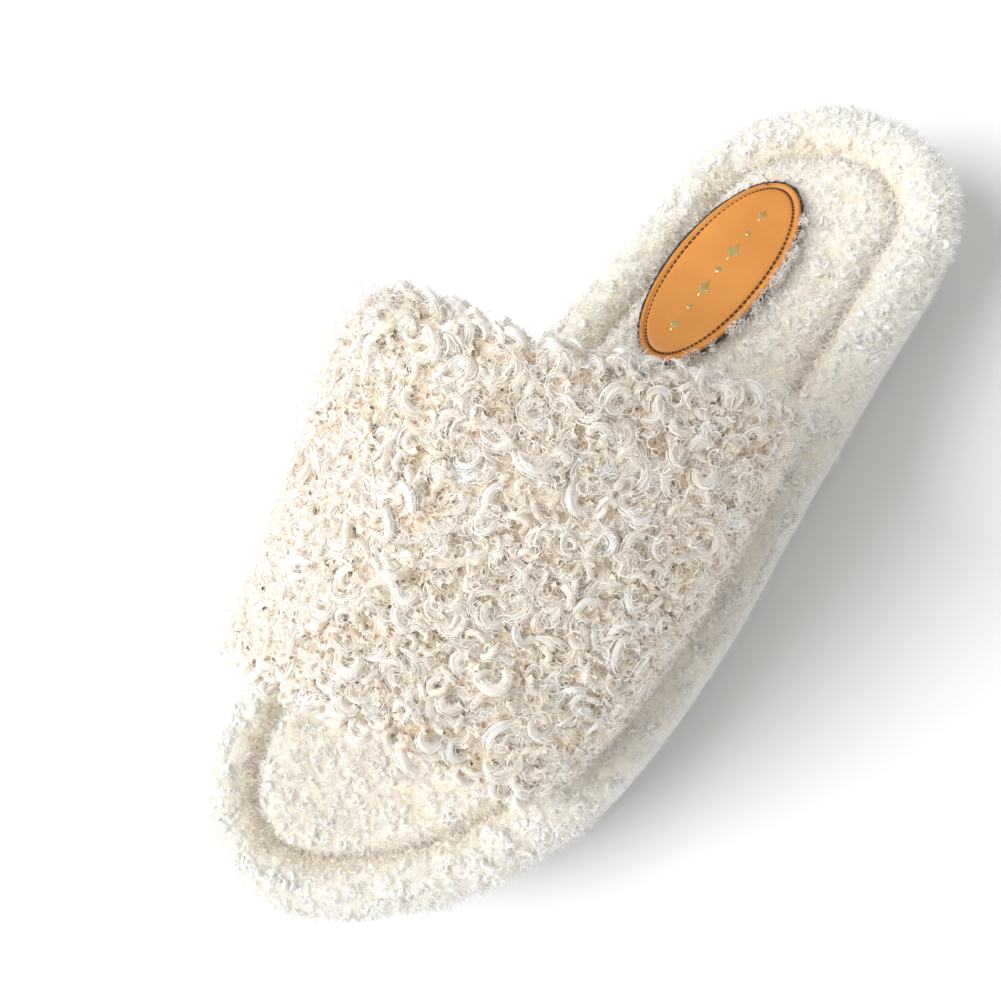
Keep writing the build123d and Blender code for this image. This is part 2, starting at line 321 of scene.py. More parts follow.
def locks(name, root, normal, lean, size, hairs, width, mats, shades, slot, steps, sides, core_share,
          coil=(0.27, 0.46), rise=(0.4, 0.85)):
    """Curled locks: each is a soft core wound with hairs that spread and end at their own lengths.

    coil and rise are the ranges of a curl's radius and height, as shares of its size.
    """
    n = len(root)
    size = size * rng.uniform(*LOCK_SIZES, n)
    tangent = unit(np.cross(normal, rng.normal(size=(n, 3))))
    axis = unit(normal + tangent * lean[:, None])
    length, radius = size * rng.uniform(*rise, n), size * rng.uniform(*coil, n)
    turns = rng.uniform(*LOCK_TURNS, n) * either_way(n)
    phase = rng.uniform(0, TAU, n)
    thick = size * rng.uniform(*LOCK_THICKNESS, n)

    def belly(t):
        """Radius of the lock, fullest in the middle and pointed at its end."""
        point = np.clip((1.03 - t) * 2.4, *LOCK_POINT) ** 0.8
        return thick[:, None] * (LOCK_ROOT + LOCK_BELLY * t * (1 - t)) * point

    def frame_at(t):
        line, out = helix(root, axis, tangent, length, radius, turns, phase, t)
        go = direction(line)
        u = unit(out - (out * go).sum(-1, keepdims=True) * go)
        return line, u, np.cross(go, u)

    t = np.broadcast_to(np.linspace(0, 1, steps), (n, steps))
    line, u, v = frame_at(t)
    cores(name + "_core", line, u * LOCK_WIDER, v * LOCK_FLATTER, belly(t) * core_share, sides, mats,
          shades(t, CORE_MINGLE), slot)
    taper = np.clip((1.03 - np.linspace(0, 1, steps)) * 5, 0.2, 1)[None]
    lines, across, widths, tones = [], [], [], []
    for j in range(hairs):
        first, last = rng.uniform(*HAIR_STARTS, (n, 1)), rng.uniform(*HAIR_ENDS, (n, 1))
        t = first + (last - first) * np.linspace(0, 1, steps)[None]
        line, u, v = frame_at(t)
        phi = TAU * j / hairs + rng.uniform(-0.4, 0.4, (n, 1)) + rng.uniform(-0.9, 0.9, (n, 1)) * t
        spread = belly(t) * rng.uniform(*HAIR_SPREAD, (n, 1))
        spread += (rng.random((n, 1)) < STRAY_SHARE) * (t - first) * rng.uniform(*STRAY_SPREAD, (n, 1))
        cos, sin = np.cos(phi)[..., None], np.sin(phi)[..., None]
        lines.append(line + (cos * u * LOCK_WIDER + sin * v * LOCK_FLATTER) * spread[..., None])
        across.append(unit(-sin * u + cos * v))
        widths.append(width * rng.uniform(*HAIR_WIDTHS, (n, 1)) * taper)
        tones.append(shades(t, HAIR_MINGLE))
    lines, across, widths, tones = (np.concatenate(a) for a in (lines, across, widths, tones))
    fibres(name, lines, across, widths, mats, tones, slot)


def fuzz(name, root, normal, length, radius, turns, width, mats, shades, slot, steps, lean):
    """Fine single hairs, each a small open curl that leans by up to lean."""
    n = len(root)
    tangent = unit(np.cross(normal, rng.normal(size=(n, 3))))
    axis = unit(normal + tangent * rng.uniform(0, lean, n)[:, None])
    t = np.broadcast_to(np.linspace(0, 1, steps), (n, steps))
    lengths, radii = length * rng.uniform(*FUZZ_SIZES, n), radius * rng.uniform(*FUZZ_SIZES, n)
    windings = rng.uniform(*turns, n) * either_way(n)
    line, _ = helix(root, axis, tangent, lengths, radii, windings, rng.uniform(0, TAU, n), t, flare=0.4)
    across = unit(np.cross(direction(line), unit(rng.normal(size=(n, 1, 3)) + normal[:, None] * 0.3)))
    widths = width * rng.uniform(*FUZZ_WIDTHS, (n, 1)) * np.clip((1.05 - t) * 3, 0.2, 1)
    fibres(name, line, across, widths, mats, shades(t), slot)


def shade_by(cuts):
    """Material number along a fibre. Each fibre moves the cuts a little, so that tones mingle."""
    def shades(t, mingle=FUZZ_MINGLE):
        shift = rng.uniform(-mingle, mingle, (len(t), 1))
        return sum((t + shift > cut).astype(int) for cut in cuts)
    return shades


# ---------------------------------------------------------------- fleece tones
# Deep in the pile the light warms to a tan, and the tips are near white.
SHORT_TONES = (("root", 0.95, 0.1), ("middle", 0.9, 0.2), ("tip", 0.85, 0.25), ("bright", 0.8, 0.25))


def short_fleece(kind, *colors):
    """Materials from root to tip of a short fibre."""
    return [material(f"{kind}_{tone}", color, *finish) for color, (tone, *finish) in zip(colors, SHORT_TONES)]


strap_mats = [
    material("curl_root", (0.89, 0.73, 0.53), 0.9, 0.1),
    material("curl_low", (0.945, 0.86, 0.74), 0.85, 0.15),
    material("curl_middle", (0.966, 0.918, 0.85), 0.75, 0.2),
    material("curl_tip", (0.982, 0.96, 0.928), 0.62, 0.25),
    material("curl_bright", (0.988, 0.98, 0.965), 0.5, 0.25),
]
bed_mats = short_fleece(
    "bed", (0.95, 0.87, 0.75), (0.978, 0.942, 0.88), (0.985, 0.965, 0.928), (0.988, 0.98, 0.96),
)
rim_mats = short_fleece(
    "rim", (0.95, 0.88, 0.76), (0.975, 0.958, 0.91), (0.985, 0.978, 0.952), (0.988, 0.984, 0.97),
)
# painted shade: warmer, darker tones for the rim's fleece down in the groove beside the footbed
groove_shade_mats = short_fleece(
    "groove", (0.96, 0.84, 0.68), (0.975, 0.90, 0.79), (0.985, 0.945, 0.875), (0.988, 0.965, 0.92),
)
backing_mats = [
    material("backing_frizz", (0.50, 0.34, 0.21), 0.9, 0.1),
    material("backing_frizz_light", (0.74, 0.58, 0.42), 0.9, 0.1),
]

# ---------------------------------------------------------------- footbed
BED_INSET, BED_WALL_INSET, BED_WALL_BOTTOM = 15.0, 15.1, 26.0
BED_SHOULDER, BED_FALL = 5.5, 6.5
BED_PILE = 1.6
BED_DISH, BED_DISH_START, BED_DISH_WIDTH = 0.8, 20, 12
BED_SWELL_SIZE, BED_SWELL_SEED = 23.0, 5
BED_SWELLS = ((0.7, BED_SWELL_SIZE, BED_SWELL_SEED), (0.35, 9.0, 6))
BED_ROWS = 50
MIDDLE_X, MIDDLE_SLANT, MIDDLE_ENDS = -0.5, 0.072, (-88, 94)
MIDDLE_SLANT_START, MIDDLE_SLANT_LENGTH = 40, 60
BED_TUFT, BED_TUFT_RISE, BED_TUFT_SINK, BED_TUFT_SEED = 3.6, 1.5, 0.4, 11


def bed_height(x, y, inset):
    """Height of the footbed's skin: lightly dished, rounded down into the groove beside the rim."""
    edge = np.clip((inset - BED_INSET) / BED_SHOULDER, 0, 1)
    fall = BED_FALL * (1 - np.sqrt(np.clip(1 - (1 - edge) ** 2, 0, 1)))
    dish = BED_DISH * np.clip((inset - BED_DISH_START) / BED_DISH_WIDTH, 0, 1)
    flat = np.stack([x, y, np.zeros_like(x)], -1)
    return BED_TOP - BED_PILE - fall - dish + swells(flat, BED_SWELLS)


def bed_skin():
    """Points of the footbed's skin, as rings that shrink from its edge to a middle line."""
    middle_y = np.clip(ring_points[:, 1], *MIDDLE_ENDS)
    middle_x = MIDDLE_X - MIDDLE_SLANT * np.clip(-middle_y - MIDDLE_SLANT_START, 0, MIDDLE_SLANT_LENGTH)
    edge = ring_points + ring_inwards * BED_INSET
    s = (np.arange(BED_ROWS) / (BED_ROWS - 1))[:, None, None] ** 0.9
    plan = edge * (1 - s) + np.stack([middle_x, middle_y], 1) * s
    inset = BED_INSET + np.linalg.norm(plan - edge, axis=-1)
    skin = np.dstack([plan, bed_height(plan[..., 0], plan[..., 1], inset)])
    skin[..., 2] += BED_TUFT_RISE * domes(skin, BED_TUFT, BED_TUFT_SEED) - BED_TUFT_SINK
    return skin


def grid_normals(points, outward):
    """Normals of a grid of points, turned to the side outward points to."""
    n = unit(np.cross(np.gradient(points, axis=0), np.gradient(points, axis=1)))
    return n * np.sign((n * outward).sum(-1, keepdims=True) + 1e-9)


bed = bed_skin()
bed_normals = grid_normals(bed, UP)
bed_base = mottled(
    "fleece_bed", (0.9, 0.82, 0.7), low=(0.93, 0.85, 0.73), high=(0.97, 0.935, 0.87), scale=260,
    roughness=0.95, sheen=0.35, bump=0.6, bump_scale=1500,
)
bed_piece = add_mesh(
    "footbed_fleece", np.concatenate([ring_at(BED_WALL_INSET, BED_WALL_BOTTOM)[None], bed]),
    grid_quads(BED_ROWS + 1, RINGS, wrap_cols=True), [bed_base], "short_fleece",
    replaces=("footbed_cover", "footbed_foam"),
)

# ---------------------------------------------------------------- rim
RIM_HEIGHT, RIM_MIDDLE, RIM_SKIN_RADIUS = 31.4, 7.5, 6.3
RIM_STEPS = 66
RIM_SWELLS = ((0.45, 14.0, 21), (0.4, 6.0, 22))
RIM_TUFT, RIM_TUFT_RISE, RIM_TUFT_SINK, RIM_TUFT_SEED = 3.5, 1.3, 0.5, 31

turn = np.linspace(0, TAU, RIM_STEPS, endpoint=False)
rim_out = (np.cos(turn)[None, :, None] * np.dstack([-ring_inwards[:, None], np.zeros((RINGS, 1, 1))])
           + np.sin(turn)[None, :, None] * UP)
rim_round = ring_at(RIM_MIDDLE, RIM_HEIGHT)[:, None] + rim_out * RIM_SKIN_RADIUS
rim_tufts = RIM_TUFT_RISE * domes(rim_round, RIM_TUFT, RIM_TUFT_SEED)
rim_relief = swells(rim_round, RIM_SWELLS) + rim_tufts - RIM_TUFT_SINK
rim = rim_round + rim_out * rim_relief[..., None]
rim_base = mottled(
    "fleece_rim", (0.85, 0.83, 0.76), low=(0.93, 0.87, 0.76), high=(0.96, 0.94, 0.88), scale=260,
    roughness=0.95, sheen=0.35, bump=0.6, bump_scale=1500,
)
rim_piece = add_mesh(
    "rim_fleece", rim, grid_quads(RINGS, RIM_STEPS, wrap_rows=True, wrap_cols=True), [rim_base],
    "rim_fleece", replaces=("rim_cover", "rim_padding"),
)

# ---------------------------------------------------------------- strap
# Stations along Y, as in the CAD strap: top of the arch (x, z), the big-toe-side shoulder as
# (inset, z), and how far the little-toe side swells out. The two edges are arcs in plan.
STATIONS = [
    (-112, -6, 78, (8.5, 56), 0.5),
    (-60, -6, 97, (5.5, 76), 0.5),
    (-5, -7, 112, (0.5, 96.5), 4.5),
    (58, -8, 122, (1.0, 105), 5.0),
]
STRAP_FRONT = [(-66, -100), (-2, -74), (66, -57)]
STRAP_REAR = [(-66, 10.5), (0, 18), (66, 75)]
# Extra (distance, x where it starts, width over which it grows) of the front edge towards the big toe
# and of the rear edge towards the little toe
FRONT_EXTRA, REAR_EXTRA = (5.0, -22, 20), (3.5, 5, 35)
BASE_INSET, THICKNESS = 16.0, 15


def rim_x(y, side):
    """x of the rim's widest line at y, on the side of that sign."""
    p = fine_points[fine_points[:, 0] * side > -12]
    p = p[np.abs(p[:, 1] - y) < 1.0]
    return p[:, 0].max() if side > 0 else p[:, 0].min()


def station_points(y, top_x, top_z, shoulder, swell):
    """Outer profile from the big-toe side over to the little-toe side: x, z and the way to the inside."""
    medial, lateral = rim_x(y, -1), rim_x(y, 1)
    rise = top_z - BED_TOP
    return [
        (medial + BASE_INSET, BOARD_TOP, 6, 0),
        (medial + BASE_INSET - 0.1, BED_EDGE_HEIGHT, 5.2, 2),
        (medial + 9.5, BED_TOP + 0.11 * rise, 8, 3),
        (medial + 0.5 - 0.3 * swell, BED_TOP + 0.36 * rise, 14, 0),
        (medial + shoulder[0], shoulder[1], 11, -9),
        (top_x, top_z, 0, -THICKNESS),
        (lateral - 16 + 0.6 * swell, top_z - 0.30 * rise, -9, -11),
        (lateral - 3 + swell, BED_TOP + 0.38 * rise, -14, -2),
        (lateral - 9 + 0.5 * swell, BED_TOP + 0.12 * rise, -8, 3),
        (lateral - BASE_INSET + 0.1, BED_EDGE_HEIGHT, -5.2, 2),
        (lateral - BASE_INSET, BOARD_TOP, -6, 0),
    ]


KNOTS = np.array([station_points(*s) for s in STATIONS])
STATION_Y = np.array([s[0] for s in STATIONS], float)
chord = np.linalg.norm(np.diff(KNOTS[1:3, :, :2].mean(0), axis=0), axis=1)
chord = np.concatenate([[0], np.cumsum(chord)])
ARCH_LENGTH = chord[-1]
chord = chord / ARCH_LENGTH


def spline_weights(u):
    """Natural cubic spline weights of the profile's points at each u."""
    n = len(chord)
    h = np.diff(chord)
    system, right = np.eye(n), np.zeros((n, n))
    for i in range(1, n - 1):
        system[i, i - 1], system[i, i], system[i, i + 1] = h[i - 1], 2 * (h[i - 1] + h[i]), h[i]
        right[i, i - 1], right[i, i + 1] = 6 / h[i - 1], 6 / h[i]
        right[i, i] = -6 / h[i - 1] - 6 / h[i]
    bend = np.linalg.solve(system, right)
    k = np.clip(np.searchsorted(chord, u, side="right") - 1, 0, n - 2)
    a, b = (chord[k + 1] - u) / h[k], (u - chord[k]) / h[k]
    w = np.zeros((len(u), n))
    w[np.arange(len(u)), k] += a
    w[np.arange(len(u)), k + 1] += b
    bend_a, bend_b = (a ** 3 - a) * h[k] ** 2 / 6, (b ** 3 - b) * h[k] ** 2 / 6
    w += bend_a[:, None] * bend[k] + bend_b[:, None] * bend[k + 1]
    return w


def arch(u, y, share):
    """Points of the strap at arch position u, distance y and depth share, 0 inside and 1 outside."""
    shape = np.broadcast_shapes(np.shape(u), np.shape(y), np.shape(share))
    u, y, share = (np.broadcast_to(np.asarray(a, float), shape).ravel() for a in (u, y, share))
    stations = len(STATION_Y)
    blend = np.ones((len(y), stations))
    for i in range(stations):
        for j in range(stations):
            if i != j:
                blend[:, i] *= (y - STATION_Y[j]) / (STATION_Y[i] - STATION_Y[j])
    knots = np.einsum("ns,skc->nkc", blend, KNOTS)
    p = np.einsum("nk,nkc->nc", spline_weights(u), knots)
    x, z = p[:, 0] + p[:, 2] * (1 - share), p[:, 1] + p[:, 3] * (1 - share)
    return np.stack([x, y, z], -1).reshape(*shape, 3)


def edge_y(x, three):
    """y at x on the circle through three plan points."""
    (x1, y1), (x2, y2), (x3, y3) = three
    m = np.array([[2 * (x2 - x1), 2 * (y2 - y1)], [2 * (x3 - x1), 2 * (y3 - y1)]])
    v = np.array([x2 ** 2 - x1 ** 2 + y2 ** 2 - y1 ** 2, x3 ** 2 - x1 ** 2 + y3 ** 2 - y1 ** 2])
    cx, cy = np.linalg.solve(m, v)
    r = math.hypot(x1 - cx, y1 - cy)
    return cy + math.copysign(1, y2 - cy) * np.sqrt(np.maximum(r * r - (x - cx) ** 2, 0))


def strap(u, v, share, setback=0.0):
    """As arch, with v from 0 at the strap's front edge to 1 at its rear edge."""
    y = np.full(np.broadcast_shapes(np.shape(u), np.shape(v)), -25.0)
    for _ in range(5):
        x = arch(u, y, share)[..., 0]
        front, rear = edge_y(x, STRAP_FRONT) + setback, edge_y(x, STRAP_REAR) - setback
        extra, start, width = FRONT_EXTRA
        front = front + extra * np.clip((start - x) / width, 0, 1)
        extra, start, width = REAR_EXTRA
        rear = rear + extra * np.clip((x - start) / width, 0, 1)
        y = front + (rear - front) * v
    return arch(u, y, share)


def strap_normals(u, v, share):
    e = 0.004
    du = strap(np.clip(u + e, 0, 1), v, share) - strap(np.clip(u - e, 0, 1), v, share)
    dv = strap(u, np.clip(v + e, 0, 1), share) - strap(u, np.clip(v - e, 0, 1), share)
    return unit(np.cross(dv, du))


ARCH_STEPS, STRAP_STEPS = 250, 130
SKIN_SHARE, SKIN_EDGE_SHARE = 0.75, 0.38
FRONT_TO_REAR, EDGE_ROUNDING = 105.0, 7.0
SKIN_SETBACK, LINING_SETBACK = 1.5, 3.5
PUFF, PUFF_PLACE, PUFF_WIDTH, PUFF_START, PUFF_LENGTH = 0.5, 0.31, 0.14, 0.35, 0.5
SKIN_TUFT, SKIN_TUFT_RISE, SKIN_TUFT_SEED, SKIN_SWELLS = 5.0, 1.6, 41, ((0.8, 9.0, 42),)
LINING_TUFT, LINING_TUFT_RISE, LINING_TUFT_SINK, LINING_TUFT_SEED = 2.6, 0.7, 0.6, 43
LIP_BULGE, LIP_STOPS = 2.6, (0.2, 0.4, 0.6, 0.8)


def skin_share(u, v, top=SKIN_SHARE):
    """Depth share of the padded skin: rounded over at the two edges, fuller over the big-toe side."""
    edge = np.clip(np.minimum(v, 1 - v) * FRONT_TO_REAR / EDGE_ROUNDING, 0, 1)
    along_edge = np.clip((v - PUFF_START) / PUFF_LENGTH, 0, 1)
    puff = PUFF * np.exp(-(((u - PUFF_PLACE) / PUFF_WIDTH) ** 2)) * along_edge
    return (SKIN_EDGE_SHARE + (top - SKIN_EDGE_SHARE) * np.sqrt(1 - (1 - edge) ** 2)) * (1 + puff)


def lip(outer, inner, column, bulge):
    """Columns that round the strap's edge from the outside to the lining."""
    return [
        outer[:, column] * (1 - s) + inner[:, column] * s + np.array([0, bulge * math.sin(math.pi * s), 0])
        for s in LIP_STOPS
    ]


def strap_pad():
    """Columns of points once round the strap's section, and which of its quads are lining."""
    uu, vv = np.meshgrid(np.linspace(0.02, 0.98, ARCH_STEPS), np.linspace(0, 1, STRAP_STEPS), indexing="ij")
    outer = strap(uu, vv, skin_share(uu, vv), SKIN_SETBACK)
    relief = SKIN_TUFT_RISE * domes(outer, SKIN_TUFT, SKIN_TUFT_SEED, reach=1.0) + swells(outer, SKIN_SWELLS)
    outer += strap_normals(uu, vv, 0.6) * relief[..., None]
    inner = strap(uu, vv, 0.0, LINING_SETBACK)
    tufts = LINING_TUFT_RISE * domes(inner, LINING_TUFT, LINING_TUFT_SEED, reach=1.0)
    relief = tufts - LINING_TUFT_SINK
    inner += -strap_normals(uu, vv, 0.0) * relief[..., None]
    rear_lip = lip(outer, inner, -1, LIP_BULGE)
    front_lip = lip(outer, inner, 0, -LIP_BULGE)
    columns = list(outer.swapaxes(0, 1)) + rear_lip
    lining_start = len(columns) - len(rear_lip) // 2
    columns += list(inner.swapaxes(0, 1))[::-1]
    lining_end = len(columns)
    columns += front_lip[::-1]
    quads = grid_quads(ARCH_STEPS, len(columns), wrap_cols=True)
    column = quads[:, 0] % len(columns)
    return np.stack(columns, 1), quads, (column > lining_start) & (column < lining_end)


# painted shade: the strap's base shows only in the gaps between the curls, and its tan stands in for the
# shade down there
pile_shade_base = mottled(
    "pile_shade_base", (0.9, 0.76, 0.56), low=(0.86, 0.70, 0.50), high=(0.94, 0.84, 0.70), scale=220,
    roughness=0.95, sheen=0.2, bump=0.6, bump_scale=1200,
)
lining_base = mottled(
    "lining", (0.9, 0.84, 0.74), low=(0.84, 0.74, 0.60), high=(0.94, 0.89, 0.80), scale=300,
    roughness=0.95, sheen=0.35, bump=0.5, bump_scale=1500,
)
strap_points, strap_quads, is_lining = strap_pad()
strap_piece = add_mesh(
    "strap_pad", strap_points, strap_quads, [pile_shade_base, lining_base], "curly_fleece",
    replaces=("strap_shell", "strap_foam", "strap_lining"), index=is_lining.astype(int),
)

# ---------------------------------------------------------------- fleece of the strap
# U_LOW and U_HIGH keep the curls to the part of the arch that stands out of the sole.
U_LOW, U_HIGH = 0.045, 0.955
LOCK_ROWS_LENGTH = 112
EDGE_ZONE, EDGE_LEAN = 0.06, 0.9
fibre_share = 1.0


def strap_spots(step, share, overhang=0.0):
    """Jittered places over the strap's face, about step apart, the way their locks stand, and v."""
    nu, nv = int(ARCH_LENGTH * (U_HIGH - U_LOW) / step), int(LOCK_ROWS_LENGTH / step)
    i, j = np.meshgrid(np.arange(nu), np.arange(nv), indexing="ij")
    i, j = i.ravel(), j.ravel()
    u = U_LOW + (U_HIGH - U_LOW) * (i + rng.uniform(0.1, 0.9, i.size)) / nu
    v = -overhang + (1 + 2 * overhang) * (j + (i % 2) * 0.5 + rng.uniform(-0.15, 0.65, i.size)) / nv
    u, v = np.clip(u, 0, 1), np.clip(v, 0, 1)
    return strap(u, v, skin_share(u, v, share), SKIN_SETBACK), edge_lean(strap_normals(u, v, share), v), v


def edge_lean(normal, v):
    """Normals that lean outwards near the strap's front and rear edges."""
    front, rear = np.clip((EDGE_ZONE - v) / EDGE_ZONE, 0, 1), np.clip((v - 1 + EDGE_ZONE) / EDGE_ZONE, 0, 1)
    return unit(normal + REARWARD * ((rear - front) * EDGE_LEAN)[:, None])


def strap_hairs(name, count, share, length, radius, width, mats, cuts, steps, lean):
    """Fine hairs all over the strap's face, starting at this depth share."""
    u, v = rng.uniform(U_LOW, U_HIGH, count), rng.uniform(0, 1, count)
    spot, normal = strap(u, v, skin_share(u, v, share), 1.0), strap_normals(u, v, 0.85)
    fuzz(name, spot, edge_lean(normal, v), length, radius, (0.5, 1.3), width, mats, shade_by(cuts),
         "curly_fleece", steps=steps, lean=lean)


# low, leaning curls that fill the pile, in darker tones than the curls above, as painted shade deep in the
# pile
spot, normal, v = strap_spots(3.0, 0.70)
locks(
    "strap_under_curls", spot, normal, rng.uniform(0.5, 1.6, len(spot)), size=6.4, hairs=8, width=0.2,
    mats=strap_mats, shades=shade_by((-0.05, 0.3, 0.9, 1.5)), slot="curly_fleece", steps=8, sides=5,
    core_share=0.8,
)
# the curls that show, shorter along the two edges
spot, normal, v = strap_spots(3.25, 0.77, 0.01)
at_edge = np.minimum(v, 1 - v) < 0.035
locks(
    "strap_curls", spot, normal, rng.uniform(0.0, 0.8, len(spot)), size=8.2 - 2.4 * at_edge,
    hairs=24, width=0.22, mats=strap_mats, shades=shade_by((-0.3, 0.05, 0.3, 0.7)),
    slot="curly_fleece", steps=12, sides=6, core_share=0.66,
)
# frizz in the gaps between the curls, in darker tones as painted shade, and loose hairs over them
strap_hairs("strap_frizz", int(6500 * fibre_share), share=0.8, length=3.0, radius=1.2, width=0.14,
            mats=strap_mats[1:4], cuts=(0.45, 0.9), steps=6, lean=1.5)
strap_hairs("strap_loose_hairs", int(9000 * fibre_share), share=0.95, length=4.2, radius=1.6, width=0.13,
            mats=strap_mats[3:], cuts=(0.5,), steps=9, lean=0.9)


def backing_frizz(count):
    """Darker frizz of the backing under the front edge, and a little under the rear edge."""
    u = rng.uniform(0.2, 0.9, count)
    v = np.where(rng.random(count) < 0.8, 0.0, 1.0)
    spot = strap(u, v, rng.uniform(0.08, 0.35, count), 2.5)
    normal = unit(np.stack([0 * u, np.where(v < 0.5, -1.0, 1.0), -0.35 + 0 * u], 1))
    fuzz("strap_edge_frizz", spot, normal, 3.2, 1.1, (0.4, 1.3), 0.13, backing_mats, shade_by((0.5,)),
         "lining_plush", steps=7, lean=1.2)


def lining_plush(count):
    u, v = rng.uniform(0.05, 0.95, count), rng.uniform(0, 1, count)
    spot, normal = strap(u, v, 0.03, 3.0), -strap_normals(u, v, 0.03)
    fuzz("lining_plush", spot, normal, 2.0, 0.7, (0.3, 0.8), 0.3, bed_mats[1:3], shade_by((0.5,)),
         "lining_plush", steps=5, lean=0.9)


backing_frizz(int(1500 * fibre_share))
lining_plush(int(12000 * fibre_share))

# ---------------------------------------------------------------- fleece of footbed and rim
FUZZ_PER_MM2 = 3.6


def nubs(name, points, normals, spacing, size, mats, cuts, slot, weight=None):
    """Short sheep-like fleece: small tight knots of wool, then a fuzz of fine hairs."""
    area = cell_areas(points, weight)
    spot, normal = scatter(points, normals, area, int(area.sum() / spacing ** 2))
    locks(
        name + "_nubs", spot - 0.5 * normal, normal, rng.uniform(0, 1.2, len(spot)), size, hairs=10,
        width=0.16, mats=mats, shades=shade_by(cuts), slot=slot, steps=6, sides=5, core_share=0.85,
        coil=(0.17, 0.35), rise=(0.14, 0.42),
    )
    spot, normal = scatter(points, normals, area, int(area.sum() * FUZZ_PER_MM2 * fibre_share))
    fuzz(name + "_fuzz", spot, normal, 2.4, 0.7, (0.3, 0.9), 0.11, mats[1:], shade_by((0.2, 0.5)), slot,
         steps=4, lean=1.6)


nubs("footbed", bed, bed_normals, 2.15, 3.5, bed_mats, (-0.3, 0.2, 0.6), "short_fleece")

rim_closed, rim_normals = (np.concatenate([a, a[:1]]) for a in (rim, rim_out))
# the rim's fleece thins out underneath, and down in the groove it takes warmer, darker tones, which are
# painted shade
showing = np.clip(np.sin(turn + 0.5) * 0.9 + 0.8, 0, 1.0)[None, :] * np.ones((len(rim_closed), 1))
groove_shade = showing * np.clip(-1.6 * np.cos(turn) - 0.2, 0, 1)[None, :]
nubs("rim", rim_closed, rim_normals, 2.3, 3.9, rim_mats, (-0.3, 0.2, 0.6), "rim_fleece", showing - groove_shade)
nubs("groove", rim_closed, rim_normals, 2.3, 3.4, groove_shade_mats, (0.0, 0.5, 1.0), "rim_fleece", groove_shade)

# ---------------------------------------------------------------- foxing
# Side of the sole from the plate up to the rim, as (inset, height)
FOXING_PROFILE = np.array([
    (9.2, 4.3), (7.0, 4.15), (5.4, 4.6), (4.3, 5.9), (3.6, 8.0), (3.15, 11.0),
    (3.0, 14.0), (3.1, 17.0), (3.5, 20.0), (4.2, 22.4), (5.4, 24.2), (7.5, 25.2),
])
FOXING_STEPS = 25
SMOOTHING = np.array([1, 2, 3, 2, 1]) / 9
# Puckers: depth, size along the side, how much they are drawn out upwards, and seed
WIDE_PUCKER, NARROW_PUCKER = (0.35, 13.0, 0.35, 51), (0.28, 4.6, 0.15, 52)
PUCKER_START, PUCKER_HEIGHT, PUCKER_POWER = 5, 16, 1.4


def foxing_side():
    """Points of the side, smoothed from the profile, with puckers that deepen towards the rim."""
    steps = np.linspace(0, len(FOXING_PROFILE) - 1, FOXING_STEPS)
    inset, height = (np.interp(steps, np.arange(len(FOXING_PROFILE)), c) for c in FOXING_PROFILE.T)
    for values in (inset, height):
        values[2:-2] = np.convolve(values, SMOOTHING, "valid")
    plan = ring_points[:, None] + ring_inwards[:, None] * inset[None, :, None]
    side = np.dstack([plan, np.broadcast_to(height, (RINGS, FOXING_STEPS))])
    pucker = sum(
        noise(side * np.array([1, 1, upwards]), size, seed) * depth
        for depth, size, upwards, seed in (WIDE_PUCKER, NARROW_PUCKER)
    )
    pucker = pucker * (np.clip((height - PUCKER_START) / PUCKER_HEIGHT, 0, 1) ** PUCKER_POWER)[None]
    side[..., :2] -= ring_inwards[:, None] * pucker[..., None]
    return side


foxing_mat = mottled(
    "foxing", (0.88, 0.87, 0.86), low=(0.83, 0.825, 0.815), high=(0.89, 0.885, 0.875), scale=30,
    roughness=0.42, sheen=0.05, bump=0.12, bump_scale=900, distance=0.0003,
)
add_mesh("foxing_skin", foxing_side(), grid_quads(RINGS, FOXING_STEPS, wrap_rows=True), [foxing_mat],
         "foxing_leather", replaces=("foxing_wrap",))

# ---------------------------------------------------------------- outsole
# Underside and rounded edge of the plate, as (inset, height)
PLATE_BOTTOM = 0.7
PLATE_PROFILE = [
    (14, PLATE_BOTTOM), (11.2, PLATE_BOTTOM), (10.6, 0.72), (10.0, 0.85), (9.5, 1.2), (9.2, 1.8),
    (9.05, 2.6), (9.0, 3.6), (9.0, 5.6),
]
PLATE_MIDDLE_ENDS = (-90, 96)
plate_mat = mottled(
    "outsole", (0.84, 0.84, 0.835), low=(0.82, 0.82, 0.815), high=(0.87, 0.87, 0.865), scale=60,
    roughness=0.5, bump=0.15, bump_scale=1400, distance=0.0003,
)


def outsole_sheet():
    middle_y = np.clip(ring_points[:, 1], *PLATE_MIDDLE_ENDS)
    middle = np.column_stack([np.zeros(RINGS), middle_y, np.full(RINGS, PLATE_BOTTOM)])
    rows = np.stack([middle] + [ring_at(inset, height) for inset, height in PLATE_PROFILE])
    add_mesh("outsole_sheet", rows, grid_quads(len(rows), RINGS, wrap_cols=True), [plate_mat],
             "outsole_rubber", replaces=("outsole_plate",))


outsole_sheet()

# Raised frame with the size in it, read from underneath
SIZE_TEXT = "38-39"
SEGMENTS = {"3": "tmbRr", "8": "tmbRrLl", "9": "tmbRrL", "-": "m"}
FRAME_MIDDLE, FRAME_SIZE, FRAME_LINE = (1.0, 24.0), (30.0, 17.0), 0.8
DIGIT_HALF_WIDTH, DIGIT_HALF_HEIGHT, DIGIT_HALF_LINE, DIGIT_PITCH = 2.1, 3.8, 0.4, 5.8
BAR_BASE, BAR_FACE, BAR_BEVEL = 0.75, 0.32, 0.12


def frame_bars():
    """The frame's four sides, as (x0, x1, y0, y1) about its middle."""
    x, y = FRAME_SIZE[0] / 2, FRAME_SIZE[1] / 2
    x_in, y_in = x - FRAME_LINE, y - FRAME_LINE
    return [(-x, x, y_in, y), (-x, x, -y, -y_in), (-x, -x_in, -y_in, y_in), (x_in, x, -y_in, y_in)]


